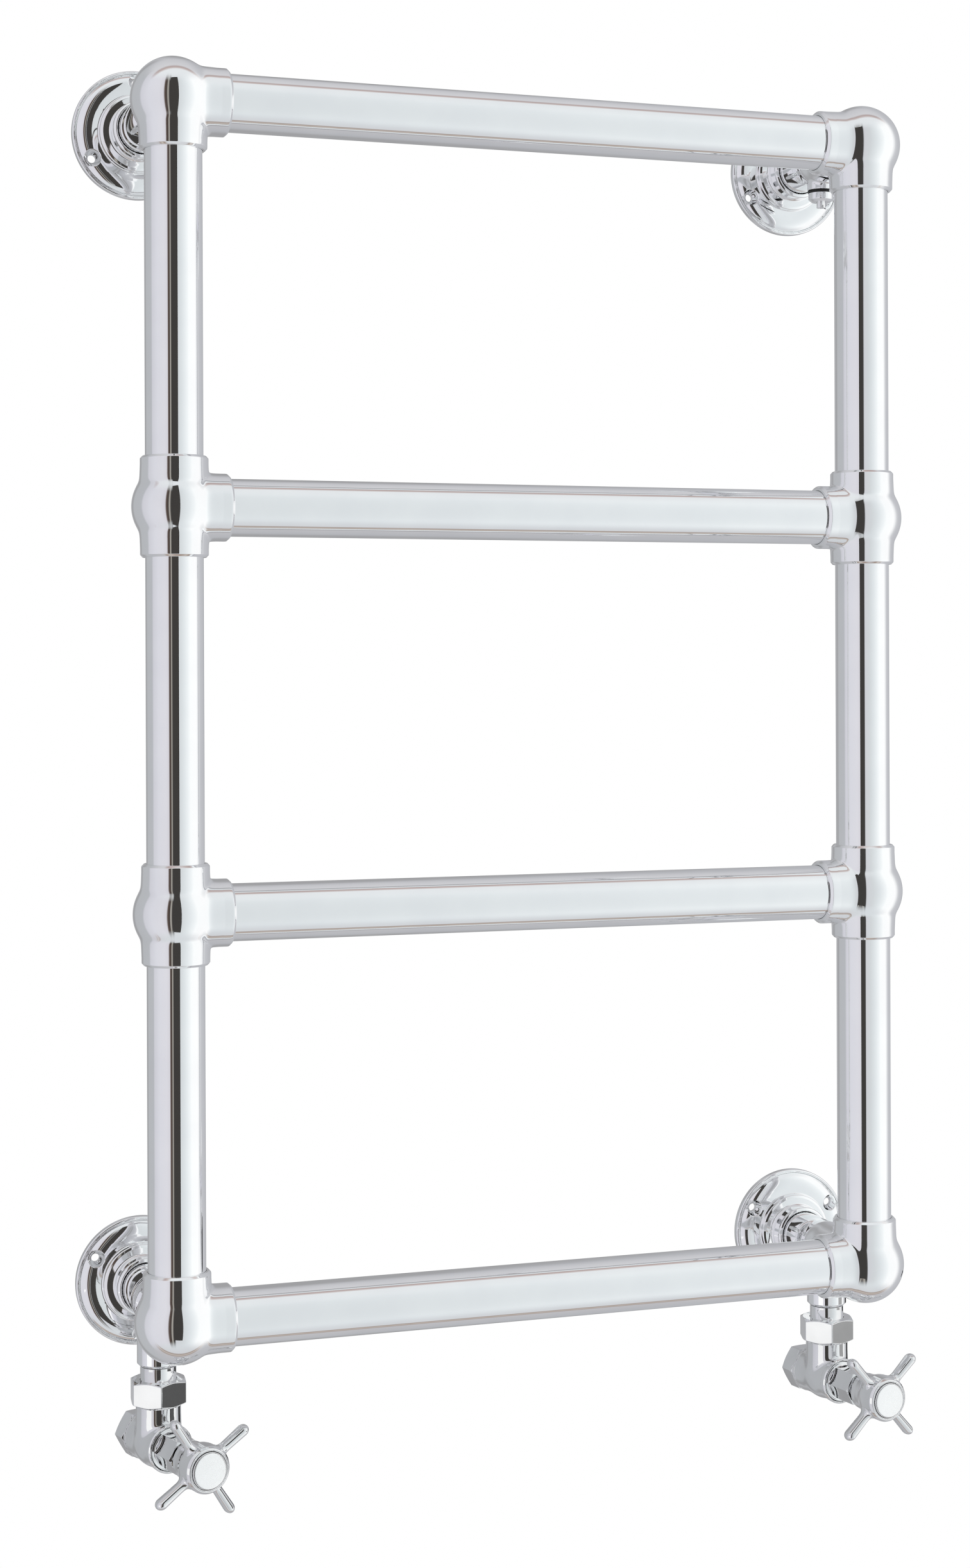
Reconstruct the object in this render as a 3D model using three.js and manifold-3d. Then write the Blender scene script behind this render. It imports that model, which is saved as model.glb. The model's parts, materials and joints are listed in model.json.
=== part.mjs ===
// Chrome towel radiator with a pair of crosshead angle valves.
// Ball-jointed frame of round tube: two uprights, four bars, eight cast ball fittings.
// Four arms run back to screwed wall flanges. The two lower arms each carry a valve.
// Frame: +Z up, +Y into the wall, X across. Millimetres.
// Origin: on the wall's face, midway between the uprights, level with the lowest bar.

import * as THREE from 'three';
import { mergeVertices } from 'three/addons/utils/BufferGeometryUtils.js';
import Module from 'manifold-3d';

const wasm = await Module();
wasm.setup();

// ---- driving dimensions ----
const CENTRES_WIDE = 500;        // between the axes of the uprights
const CENTRES_HIGH = 800;        // between the axes of the lowest and highest bars
const BAR_COUNT = 4;
const STAND_OFF = 126;           // axes of the tubes to the wall's face
const TUBE_R = 19.05;            // 38.1 mm tube
const TUBE_WALL = 1.5;
const FIT = 0.3;                 // clearance between pieces that touch

const BALL_R = 28.1;
const COLLAR_R = 22.4;
const COLLAR_UP = 33.3;          // centre of the ball to the end of an upright's collar
const COLLAR_SIDE = 36;          // and of a bar's collar
const SOCKET_STOP = 20;          // centre of the ball to the shoulder a tube stops on
const WATERWAY_R = 15.5;

const ARM_R = 17;
const ARM_BORE_R = 14.5;
const ARM_STOP = 14;             // depth of the arm's socket, from the ball's centre
const FLANGE_WEB = 6;            // solid back of the flange behind the arm's end

const VALVE_BEHIND = 61;         // axis of the valve's tail behind the tube axes
const VALVE_DROP = 96;           // axis of the valve's barrel below the lowest bar
const VALVE_TURN = { left: 14, right: 9 };     // degrees the barrels are turned outwards
const HANDLE_TURN = { left: 33, right: 42 };   // degrees the first arm stands above level
const NUT_TURN = { left: 24, right: 15 };      // degrees of the union nut's corners

const VENT_BEHIND = 64;          // air vent behind the tube axes

// Sides of round work, by its largest radius: pieces that fit each other get the same count.
const sidesFor = (radius) => (radius > 30 ? 20 : radius > 9 ? 16 : radius > 4 ? 12 : 8);
const BALL_SIDES = 16;
const CHAMFER_SHARE = 0.55;      // of a hexagon's corner, turned off at each end of a nut
const FACET_SKEW = 4;            // degrees, so that no facet edges coincide where shapes join

// ---- finishes ----
const finish = (colour, roughness, metalness) =>
  new THREE.MeshStandardMaterial({ color: colour, roughness, metalness });
const CHROME = finish(0xe4e6ea, 0.05, 1);
const SATIN_CHROME = finish(0xc9ccd0, 0.18, 1);
const BRASS = finish(0xc2a15a, 0.3, 1);
const STEEL = finish(0xa8abb0, 0.35, 1);
const RUBBER = finish(0x141414, 0.7, 0);

// ---- solids ----
const radians = THREE.MathUtils.degToRad;
const tubeBoreR = TUBE_R - TUBE_WALL;

// Merges a closed geometry's shared vertices and turns its faces outwards.
function solid(geometry) {
  const plain = geometry.clone();
  plain.deleteAttribute('normal');
  plain.deleteAttribute('uv');
  const merged = mergeVertices(plain, 1e-4);
  const points = merged.attributes.position.array;
  const faces = [];
  const index = merged.index.array;
  let sixVolumes = 0;
  for (let i = 0; i < index.length; i += 3) {
    const [a, b, c] = [index[i], index[i + 1], index[i + 2]];
    if (a === b || b === c || c === a) continue;
    faces.push(a, b, c);
    const [p, q, r] = [a, b, c].map((n) => new THREE.Vector3().fromArray(points, 3 * n));
    sixVolumes += p.dot(q.cross(r));
  }
  if (sixVolumes < 0) {
    for (let i = 0; i < faces.length; i += 3) {
      [faces[i], faces[i + 1]] = [faces[i + 1], faces[i]];
    }
  }
  return new wasm.Manifold(new wasm.Mesh({
    numProp: 3,
    vertProperties: new Float32Array(points),
    triVerts: new Uint32Array(faces),
  }));
}

function geometryOf(body) {
  const { vertProperties, triVerts } = body.getMesh();
  const geometry = new THREE.BufferGeometry();
  geometry.setAttribute('position', new THREE.BufferAttribute(vertProperties, 3));
  geometry.setIndex(new THREE.BufferAttribute(triVerts, 1));
  geometry.computeVertexNormals();
  return geometry;
}

// Joins the first list of geometries and cuts the second list out of them.
function made(joined, cuts = []) {
  let body = solid(joined[0]);
  for (const piece of joined.slice(1)) body = body.add(solid(piece));
  for (const piece of cuts) body = body.subtract(solid(piece));
  return geometryOf(body);
}

// A turned piece about +Z from a list of [radius, height] points.
// A profile that doesn't start on the axis closes on itself.
function turned(profile, sides = sidesFor(Math.max(...profile.map(([r]) => r)))) {
  const points = profile.map(([r, h]) => new THREE.Vector2(r, h));
  if (profile[0][0] > 0) points.push(points[0].clone());
  return new THREE.LatheGeometry(points, sides).rotateX(Math.PI / 2);
}

const rod = (r, from, to, sides) =>
  turned([[0, from], [r, from], [r, to], [0, to]], sides);

const ring = (inner, outer, from, to) =>
  turned([[inner, from], [outer, from], [outer, to], [inner, to]]);

// A hexagon bar about +Z, its size given across the flats, a corner on +X before the turn.
function hexagon(flats, from, to, turn = 0) {
  const corner = flats / 2 / Math.cos(Math.PI / 6);
  return rod(corner, from, to, 6).rotateZ(radians(turn) + Math.PI / 2);
}

// A hexagon nut whose corners are turned off at both ends.
function nutBlank(flats, from, to, turn = 0) {
  const corner = flats / 2 / Math.cos(Math.PI / 6);
  const bevel = (corner - flats / 2) * CHAMFER_SHARE;
  const blank = solid(hexagon(flats, from, to, turn));
  const turnedEnds = solid(turned([
    [0, from], [flats / 2, from], [corner, from + bevel],
    [corner, to - bevel], [flats / 2, to], [0, to],
  ]));
  return geometryOf(blank.intersect(turnedEnds));
}

// Turns a piece made along +Z so that it runs along another axis.
const TOWARDS = {
  right: (g) => g.rotateY(Math.PI / 2),
  left: (g) => g.rotateY(-Math.PI / 2),
  back: (g) => g.rotateX(-Math.PI / 2),
};

const group = new THREE.Group();

function place(name, geometry, material, parent = group, at = [0, 0, 0]) {
  const mesh = new THREE.Mesh(geometry, material);
  mesh.name = name;
  mesh.position.set(...at);
  parent.add(mesh);
  return mesh;
}

// ---- the ball-jointed frame ----
const half = CENTRES_WIDE / 2;
const barPitch = CENTRES_HIGH / (BAR_COUNT - 1);
const SIDES = { left: -1, right: 1 };
const LEVELS = ['bottom', 'lower', 'upper', 'top'];

// A run of collar through the ball, from below the centre to above it. Its ends are bevelled
// down to the tube, unless the run stops at the centre.
function collarRun(r, below, above) {
  const lower = below > 0 ? [[0, -below], [r - 1.6, -below], [r, 1.6 - below]] : [[0, 0], [r, 0]];
  const upper = above > 0 ? [[r, above - 1.6], [r - 1.6, above], [0, above]] : [[r, 0], [0, 0]];
  return turned([...lower, ...upper]);
}

// The hole through the same run: a waterway, widened from each shoulder outwards for a tube.
function socketRun(bore, socket, below, above, stop = SOCKET_STOP) {
  const lower = below > 0
    ? [[0, -below - 1], [socket, -below - 1], [socket, -stop], [bore, -stop]]
    : [[0, 0], [bore, 0]];
  const upper = above > 0
    ? [[bore, stop], [socket, stop], [socket, above + 1], [0, above + 1]]
    : [[bore, 0], [0, 0]];
  return turned([...lower, ...upper]);
}

// A cast ball with a collar towards each tube. The tubes stop on a shoulder inside.
function ballFitting({ below, above, side, armAtBack }) {
  const ball = new THREE.SphereGeometry(BALL_R, BALL_SIDES, BALL_SIDES / 2);
  const [down, up] = [below ? COLLAR_UP : 0, above ? COLLAR_UP : 0];
  const joined = [
    ball.rotateY(radians(FACET_SKEW)),
    collarRun(COLLAR_R, down, up),
    TOWARDS[side](collarRun(COLLAR_R + 0.3, 0, COLLAR_SIDE)),
  ];
  const cuts = [
    socketRun(WATERWAY_R, TUBE_R + FIT, down, up),
    TOWARDS[side](socketRun(WATERWAY_R - 0.6, TUBE_R + FIT, 0, COLLAR_SIDE)),
  ];
  if (armAtBack) {
    cuts.push(TOWARDS.back(socketRun(ARM_BORE_R, ARM_R + FIT, 0, BALL_R, ARM_STOP)));
  }
  return made(joined, cuts);
}

for (const [side, sign] of Object.entries(SIDES)) {
  const inward = sign < 0 ? 'right' : 'left';
  LEVELS.forEach((level, row) => {
    const [below, above] = [row > 0, row < BAR_COUNT - 1];
    const isCorner = !(below && above);
    const fitting = ballFitting({ below, above, side: inward, armAtBack: isCorner });
    place(`${side}_${level}_${isCorner ? 'corner' : 'tee'}`, fitting, CHROME, group,
      [sign * half, -STAND_OFF, row * barPitch]);
  });
  ['lower', 'middle', 'upper'].forEach((stretch, row) => {
    const from = row * barPitch + SOCKET_STOP + FIT;
    const to = (row + 1) * barPitch - SOCKET_STOP - FIT;
    place(`${side}_${stretch}_upright`, made([ring(tubeBoreR, TUBE_R, from, to)]), CHROME,
      group, [sign * half, -STAND_OFF, 0]);
  });
}

const barReach = half - SOCKET_STOP - FIT;
LEVELS.forEach((level, row) => {
  const tube = TOWARDS.right(ring(tubeBoreR, TUBE_R, -barReach, barReach));
  place(`${level}_bar`, made([tube]), CHROME, group, [0, -STAND_OFF, row * barPitch]);
});

// ---- arms back to the wall, made along +Z, with +Y downwards once placed ----
const armFrom = ARM_STOP + FIT;
const armTo = STAND_OFF - FLANGE_WEB - FIT;
const ARM_END_WALL = 8;
const armTube = () => turned([
  [ARM_BORE_R, armFrom], [ARM_R, armFrom], [ARM_R, armTo],
  [0, armTo], [0, armTo - ARM_END_WALL], [ARM_BORE_R, armTo - ARM_END_WALL],
]);

// A branch that leaves the arm downwards, and a hole down its middle.
const branch = (shape, along) =>
  shape.rotateZ(radians(FACET_SKEW)).rotateX(-Math.PI / 2).translate(0, 0, along);

const VALVE_SOCKET = { r: 14.3, end: 43.3, threadR: 10.8, threadFrom: 22, holeR: 8.5 };
const VENT_BOSS = { r: 9.9, end: 21, threadR: 6.3 };

// The arm's bore again, to clear a branch that was joined to it.
const armBore = () => rod(ARM_BORE_R, armFrom, armTo - ARM_END_WALL);

function valveArm() {
  const s = VALVE_SOCKET;
  return made([
    rod(ARM_R, armFrom, armTo),
    branch(turned([[0, 0], [s.r, 0], [s.r, s.end - 1.8], [s.r - 1.9, s.end], [0, s.end]]),
      VALVE_BEHIND),
  ], [
    armBore(),
    branch(rod(s.threadR, s.threadFrom, s.end + 1), VALVE_BEHIND),
    branch(rod(s.holeR, 5, s.threadFrom + 1), VALVE_BEHIND),
  ]);
}

function ventArm() {
  return made([
    rod(ARM_R, armFrom, armTo),
    branch(rod(VENT_BOSS.r, 0, VENT_BOSS.end), VENT_BEHIND),
  ], [
    armBore(),
    branch(rod(VENT_BOSS.threadR, 5, VENT_BOSS.end + 1), VENT_BEHIND),
  ]);
}

// ---- wall flanges, made along +Z out of the wall ----
const SCREW_CIRCLE_R = 36;
const SCREW_ANGLES = [90, 210, 330];
const GRUB_ANGLE = 210;
const GRUB_HEIGHT = 19.5;
const GRUB_R = 2;
const FLANGE_TURN = { top: 0, bottom: -60 };

function wallFlange() {
  const socketR = ARM_R + FIT;
  const plate = turned([
    [0, 0], [44.9, 0], [44.9, 3.6], [43.4, 5], [41, 5], [27.4, 9], [25.6, 13.4], [20, 14.4],
    [20, 26.2], [socketR + 0.6, 27.4], [socketR, FLANGE_WEB], [0, FLANGE_WEB],
  ]);
  const cuts = SCREW_ANGLES.map((angle) => turned([
    [0, -1], [2.85, -1], [2.85, 3.4], [5.9, 6.2], [5.9, 9], [0, 9],
  ]).translate(SCREW_CIRCLE_R, 0, 0).rotateZ(radians(angle)));
  cuts.push(TOWARDS.right(rod(GRUB_R + FIT, ARM_R - 1, 24))
    .translate(0, 0, GRUB_HEIGHT).rotateZ(radians(GRUB_ANGLE)));
  return made([plate], cuts);
}

// Set screw that locks the flange on the arm, with a hexagon socket in its outer end.
function grubScrew() {
  const inner = ARM_R + 0.2;
  const outer = inner + 3;
  return made([rod(GRUB_R, inner, outer)], [hexagon(2, outer - 1.5, outer + 1)]);
}

for (const [side, sign] of Object.entries(SIDES)) {
  for (const level of ['bottom', 'top']) {
    const height = level === 'top' ? CENTRES_HIGH : 0;
    const arm = level === 'bottom' ? valveArm() : side === 'right' ? ventArm() : made([armTube()]);
    const armMesh = place(`${side}_${level}_arm`, arm, CHROME, group,
      [sign * half, -STAND_OFF, height]);
    armMesh.rotation.x = -Math.PI / 2;

    const wallSide = new THREE.Group();
    wallSide.position.set(sign * half, 0, height);
    wallSide.rotation.set(Math.PI / 2, 0, 0);
    group.add(wallSide);
    const turn = radians(FLANGE_TURN[level]);
    place(`${side}_${level}_flange`, wallFlange(), CHROME, wallSide).rotation.z = turn;
    const grub = TOWARDS.right(grubScrew());
    place(`${side}_${level}_grub_screw`, grub, STEEL, wallSide, [0, 0, GRUB_HEIGHT])
      .rotation.z = turn + radians(GRUB_ANGLE);
  }
}

// ---- air vent under the top right arm, made along +Z downwards from the arm's axis ----
const vent = new THREE.Group();
vent.position.set(half, VENT_BEHIND - STAND_OFF, CENTRES_HIGH);
vent.rotation.x = Math.PI;
group.add(vent);

const VENT_HEAD = { r: 9.2, from: 23, to: 29.6 };
place('vent_seal', made([ring(6.6, 9.85, VENT_BOSS.end + FIT, VENT_HEAD.from - FIT)]), RUBBER,
  vent);
place('vent_plug', made([
  rod(VENT_BOSS.threadR - FIT, 12, VENT_HEAD.from),
  turned([
    [0, VENT_HEAD.from], [VENT_HEAD.r, VENT_HEAD.from], [VENT_HEAD.r, VENT_HEAD.to - 1.6],
    [VENT_HEAD.r - 2.2, VENT_HEAD.to], [0, VENT_HEAD.to],
  ]),
], [
  rod(3.6, 16, VENT_HEAD.to + 1),
  rod(1.6, 11, 17),
]), CHROME, vent);
place('vent_screw', made([rod(3.2, 16.3, VENT_HEAD.to + 4.3)], [
  new THREE.BoxGeometry(8, 1.1, 4).translate(0, 0, VENT_HEAD.to + 4.3),
]), SATIN_CHROME, vent);

// ---- crosshead angle valve ----
// Upright pieces are made about the tail's axis, heights from the lowest bar's level.
// Barrel pieces are made along +Z out of the handle, +Y up, from the tail's axis.
const NUT = { flats: 35.6, top: -52.5, bottom: -68.9, shoulder: -58.2 };
const TAIL = { bore: 8.2, threadR: 10.4, r: 12.15, flangeR: 13.8, foot: -62.2 };
const BARREL_R = 15.6;
const SEAT_AT = -9;                  // face of the seat along the barrel
const SPINDLE_R = 5;
const THREAD_R = 3.9;
const RUNNING = 0.5;                 // clearance round a turning piece
const HANDLE_AT = 65.5;              // plane of the handle's arms
const ARM_TIP = 39.6;
const ARM_DEPTH = 1.4;               // of a handle arm, to its width

function unionTail() {
  const t = TAIL;
  return made([turned([
    [t.bore, -22.3], [t.threadR, -22.3], [t.threadR, -43.6], [t.r, -43.6],
    [t.r, NUT.shoulder - FIT], [t.flangeR, NUT.shoulder - FIT], [t.flangeR, t.foot],
    [t.bore, t.foot],
  ])]);
}

function unionNut(turn) {
  return made([nutBlank(NUT.flats, NUT.bottom, NUT.top, turn)], [
    rod(14.4, NUT.bottom - 1, NUT.shoulder),
    rod(TAIL.r + 0.35, NUT.shoulder - 1, NUT.top + 1),
  ]);
}

// Cast body: the barrel, the neck up to the union, and the thread for the inlet nut.
function valveBody() {
  const neckTop = VALVE_DROP + TAIL.foot - FIT;
  const underNut = VALVE_DROP + NUT.bottom - FIT;
  const upright = (shape) => shape.rotateZ(radians(FACET_SKEW)).rotateX(-Math.PI / 2);
  const barrel = turned([
    [0, -29.8], [12.4, -29.8], [12.4, -22], [15.4, -22], [16, -21.2], [16, -19.6],
    [BARREL_R, -19], [BARREL_R, 14.6], [16.2, 15.6], [16.4, 18.6], [15.7, 19.6], [0, 19.6],
  ]);
  const neck = upright(turned([
    [0, 0], [BARREL_R - 0.1, 0], [15.2, underNut], [14, underNut], [14, neckTop], [0, neckTop],
  ]));
  return made([barrel, neck], [
    rod(14.8, 16.8, 21),
    rod(12.3, 8, 21),
    rod(10, SEAT_AT, 9),
    rod(5.5, -15, 0),
    rod(7.7, -36, -14),
    rod(9.7, -36, -27.1),
    upright(rod(8, 5, neckTop + 1)),
  ]);
}

function compressionNut() {
  return made([nutBlank(29, -34.8, -22.3)], [
    rod(12.75, -31.9, -21),
    rod(7.9, -36, -31),
  ]);
}

const olive = () => made([turned([
  [7.6, -31.6], [8.3, -31.6], [9.35, -30], [9.35, -29], [8.3, -27.4], [7.6, -27.4],
])]);

function bonnet() {
  return made([
    rod(12, 8.3, 17.1),
    rod(14.3, 17.1, 19.2),
    nutBlank(22, 19, 42),
  ], [
    hexagon(15, 7, 27),
    rod(SPINDLE_R + RUNNING, 26, 38),
    rod(7.6, 37, 43),
  ]);
}

function glandNut() {
  return made([rod(7.3, 37.6, 42.6), nutBlank(17, 42.3, 46.6)],
    [rod(SPINDLE_R + RUNNING, 36, 48)]);
}

// Non-rising spindle: fine thread in the jumper, collar behind the bonnet's shoulder,
// square end in the crosshead, tapped for the handle screw.
function spindle() {
  const square = new THREE.BoxGeometry(7, 7, 11).translate(0, 0, 64);
  return made([
    rod(THREAD_R, 5, 24), rod(7, 23.5, 26.7), rod(SPINDLE_R, 26, 60), square,
  ], [rod(2.7, 61, 71)]);
}

// Jumper: slides on the bonnet's hexagon bore and carries the washer.
const jumper = () => made([hexagon(14.2, -5, 13), rod(7.6, -5.7, -4)],
  [rod(THREAD_R + 0.4, -2.5, 14)]);

const seatWasher = () => made([rod(7.2, SEAT_AT + FIT, -6)]);

// Crosshead: skirt over the gland nut, hub with a bevelled shoulder, four flattened arms.
function crosshead(turn) {
  const hub = turned([
    [0, 47.5], [12.9, 47.5], [13.1, 52], [14, 57.5], [15.3, 61.5], [15.6, 64],
    [15.6, 73.6], [14.8, 75.2], [13.4, 75.8], [0, 75.8],
  ]);
  const bar = () => turned([
    [0, 9], [3.1, 9], [3.5, 35.6], [2.6, 38.4], [0, ARM_TIP],
  ], 10).scale(1, ARM_DEPTH, 1).rotateX(Math.PI / 2).rotateZ(Math.PI / 2);
  const arms = [0, 1, 2, 3].map((quarter) =>
    bar().rotateZ(radians(turn + 90 * quarter) + Math.PI).translate(0, 0, HANDLE_AT));
  return made([hub, ...arms], [
    rod(11.2, 46, 55),
    rod(SPINDLE_R + 0.4, 54, 60.3),
    new THREE.BoxGeometry(7.6, 7.6, 14).translate(0, 0, 66),
    rod(12.65, 70.6, 77),
  ]);
}

const handleCap = () => made([turned([
  [0, 73.8], [12.3, 73.8], [12.3, 76.9], [11.8, 77.4], [0, 77.8],
])]);

const handleScrew = () => made([rod(2.4, 62, 71.2), turned([
  [0, 70.9], [4.6, 70.9], [4.6, 72.4], [3.6, 73.4], [0, 73.4],
])], [hexagon(2.5, 72, 74)]);

for (const [side, sign] of Object.entries(SIDES)) {
  const valve = new THREE.Group();
  valve.position.set(sign * half, VALVE_BEHIND - STAND_OFF, 0);
  valve.rotation.z = radians(VALVE_TURN[side]);
  group.add(valve);
  const barrel = new THREE.Group();
  barrel.position.z = -VALVE_DROP;
  barrel.rotation.x = Math.PI / 2;
  valve.add(barrel);

  place(`${side}_tail`, unionTail(), CHROME, valve);
  place(`${side}_union_nut`, unionNut(NUT_TURN[side] - VALVE_TURN[side]), CHROME, valve);
  place(`${side}_valve_body`, valveBody(), CHROME, barrel);
  place(`${side}_compression_nut`, compressionNut(), CHROME, barrel);
  place(`${side}_olive`, olive(), BRASS, barrel);
  place(`${side}_bonnet`, bonnet(), CHROME, barrel);
  place(`${side}_gland_nut`, glandNut(), CHROME, barrel);
  place(`${side}_spindle`, spindle(), BRASS, barrel);
  place(`${side}_jumper`, jumper(), BRASS, barrel);
  place(`${side}_seat_washer`, seatWasher(), RUBBER, barrel);
  place(`${side}_crosshead`, crosshead(HANDLE_TURN[side]), CHROME, barrel);
  place(`${side}_handle_cap`, handleCap(), SATIN_CHROME, barrel);
  place(`${side}_handle_screw`, handleScrew(), STEEL, barrel);
}

export default group;
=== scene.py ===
"""Chrome towel radiator with a pair of crosshead angle valves: its looks, built round the
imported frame.

Every visible piece is a fine surface worked out as whole arrays and put in place of its CAD node:
turned work, hexagon nuts, smooth castings and flattened handle arms. Lengths in the shapes are
millimetres, and points are turned into metres where a mesh is made.
"""

import bmesh
import bpy
import json
import math
import numpy as np
from mathutils import Euler, Matrix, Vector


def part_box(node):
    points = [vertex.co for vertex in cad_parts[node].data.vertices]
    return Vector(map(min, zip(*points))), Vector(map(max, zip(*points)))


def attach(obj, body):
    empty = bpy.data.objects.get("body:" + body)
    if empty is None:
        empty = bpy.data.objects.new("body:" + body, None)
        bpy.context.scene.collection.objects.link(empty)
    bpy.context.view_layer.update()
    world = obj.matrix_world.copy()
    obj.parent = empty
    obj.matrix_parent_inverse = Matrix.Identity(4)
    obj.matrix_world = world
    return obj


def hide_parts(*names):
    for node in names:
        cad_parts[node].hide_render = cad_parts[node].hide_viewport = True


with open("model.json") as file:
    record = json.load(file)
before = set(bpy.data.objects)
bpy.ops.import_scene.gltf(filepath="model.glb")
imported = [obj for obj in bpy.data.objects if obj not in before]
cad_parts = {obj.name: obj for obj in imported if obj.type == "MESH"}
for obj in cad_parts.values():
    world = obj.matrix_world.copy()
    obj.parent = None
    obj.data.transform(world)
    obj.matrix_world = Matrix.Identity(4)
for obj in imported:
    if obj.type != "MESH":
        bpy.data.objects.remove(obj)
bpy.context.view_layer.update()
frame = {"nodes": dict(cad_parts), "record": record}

MM = 0.001
SIDES = ("left", "right")
LEVELS = ("bottom", "lower", "upper", "top")
STRETCHES = ("lower", "middle", "upper")

# ---- sizes, in millimetres ----
TUBE_R = 19.05
TUBE_WALL = 1.5
BALL_R = 28.0
COLLAR_R = 22.35
COLLAR_DRAFT = 0.35          # how much a collar thickens towards the ball
DRAFT_LONG = 10              # and over what length, outside the ball
COLLAR_LIP = 2.6             # length of a collar's worked end
COLLAR_END = {"upright": 33.3, "bar": 36.0}
SOCKET_GAP = 0.18            # between a collar's bore and the tube, as seen
SOCKET_STOP = 20.0
ARM_R = 17.0
BLEND = 1.35                 # sharpness of the castings' inner fillets, per millimetre

AROUND = 160                 # columns round a large turned piece
AROUND_SMALL = 96


# ---- places ----
def middle(node):
    """The middle of a CAD node's box, in millimetres."""
    low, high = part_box(node)
    return np.array([(a + b) / 2 for a, b in zip(low, high)]) / MM


def span(node, axis):
    """The lowest and highest coordinate of a CAD node along an axis, in millimetres."""
    low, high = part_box(node)
    return low[axis] / MM, high[axis] / MM


AXIS_X = {side: middle(f"{side}_lower_upright")[0] for side in SIDES}
AXIS_Y = middle("bottom_bar")[1]
AXIS_Z = {level: middle(f"{level}_bar")[2] for level in LEVELS}


class Place:
    """Where a piece is made: an origin and three axes at right angles, z along the work."""

    def __init__(self, origin, z_axis, y_hint):
        z = np.array(z_axis, float)
        z /= np.linalg.norm(z)
        y = np.array(y_hint, float)
        y -= z * (y @ z)
        y /= np.linalg.norm(y)
        self.origin = np.array(origin, float)
        self.axes = np.stack([np.cross(y, z), y, z])

    def points(self, local):
        """Local points, any array ending in x, y, z, taken to the frame."""
        return self.origin + local @ self.axes


UP, DOWN = np.array([0, 0, 1.0]), np.array([0, 0, -1.0])
TO_WALL, TO_ROOM = np.array([0, 1.0, 0]), np.array([0, -1.0, 0])
RIGHT, LEFT = np.array([1.0, 0, 0]), np.array([-1.0, 0, 0])


# ---- meshes ----
def unit(vectors):
    """Vectors divided by their lengths."""
    return vectors / np.maximum(np.linalg.norm(vectors, axis=-1, keepdims=True), 1e-12)


def grid_faces(rows, columns, wrap_rows, wrap_columns):
    """Corner numbers of the four-sided faces between the points of a grid."""
    r = np.arange(rows if wrap_rows else rows - 1)
    c = np.arange(columns if wrap_columns else columns - 1)
    r, c = np.meshgrid(r, c, indexing="ij")
    r2, c2 = (r + 1) % rows, (c + 1) % columns
    corners = [r * columns + c, r * columns + c2, r2 * columns + c2, r2 * columns + c]
    return np.stack(corners, -1).reshape(-1, 4)


def welded(grids, tolerance=2e-5):
    """Joins grids into one list of points and faces.

    Points that round to the same place become one, faces that then have two equal corners
    become triangles, and faces with fewer than three different corners are dropped.
    """
    points = np.concatenate([places.reshape(-1, 3) for places, _ in grids])
    starts = np.cumsum([0] + [places.size // 3 for places, _ in grids[:-1]])
    faces = np.concatenate([corners + start for (_, corners), start in zip(grids, starts)])
    keys = np.round(points / tolerance).astype(np.int64)
    _, first, inverse = np.unique(keys, axis=0, return_index=True, return_inverse=True)
    faces = inverse.reshape(-1)[faces]
    same = faces == np.roll(faces, -1, axis=1)
    quads = faces[same.sum(1) == 0]
    thin, mark = faces[same.sum(1) == 1], same[same.sum(1) == 1]
    triangles = thin[~mark].reshape(-1, 3)
    return points[first], quads, triangles


def faces_outward(mesh):
    """Turns the faces over where needed, so that all of a closed mesh's faces look out."""
    work = bmesh.new()
    work.from_mesh(mesh)
    bmesh.ops.recalc_face_normals(work, faces=work.faces)
    work.to_mesh(mesh)
    work.free()


def make_mesh(name, grids, material):
    """One closed mesh from grids of (points, faces) in millimetres."""
    points, quads, triangles = welded(grids)
    mesh = bpy.data.meshes.new(name)
    mesh.from_pydata((points * MM).tolist(), [], quads.tolist() + triangles.tolist())
    faces_outward(mesh)
    mesh.shade_smooth()
    piece = bpy.data.objects.new(name, mesh)
    bpy.context.scene.collection.objects.link(piece)
    mesh.materials.append(material)
    return piece


BODY_OF = {n: b for b, ns in frame["record"]["behaviour"]["bodies"].items() for n in ns}
SLOT_OF = {part["node"]: part["material_slot"] for part in frame["record"]["subparts"]}


def settle(piece, node):
    """The piece stands for a CAD node and moves with its body, and the node is hidden."""
    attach(piece, BODY_OF[node])
    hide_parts(node)
    return piece


# ---- profiles ----
def rounded(corners, closed=False, steps=7):
    """A profile through (radius, height, fillet) corners, each corner an arc of its fillet.

    The arc touches both sides at fillet * tan(half the turn) from the corner, and a support
    point stands just outside each touching point so that flat stretches stay flat.
    """
    p = np.array([c[:2] for c in corners], float)
    f = [c[2] if len(c) > 2 else 0 for c in corners]
    out, n = [], len(p)
    for i in range(n):
        if f[i] == 0 or (not closed and i in (0, n - 1)):
            out.append(p[i])
            continue
        a, b = unit(p[i - 1] - p[i]), unit(p[(i + 1) % n] - p[i])
        half = math.acos(np.clip(a @ b, -1, 1)) / 2
        reach = f[i] / math.tan(half)
        centre = p[i] + unit(a + b) * f[i] / math.sin(half)
        start, end = p[i] + a * reach - centre, p[i] + b * reach - centre
        turn = math.pi - 2 * half
        sign = np.sign(start[0] * end[1] - start[1] * end[0])
        t = sign * np.linspace(0, turn, steps)
        cos, sin = np.cos(t), np.sin(t)
        arc = np.stack([start[0] * cos - start[1] * sin, start[0] * sin + start[1] * cos], 1)
        support = min(0.35, f[i])
        out.append(p[i] + a * (reach + support))
        out.extend(centre + arc)
        out.append(p[i] + b * (reach + support))
    return np.array(out)


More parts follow.
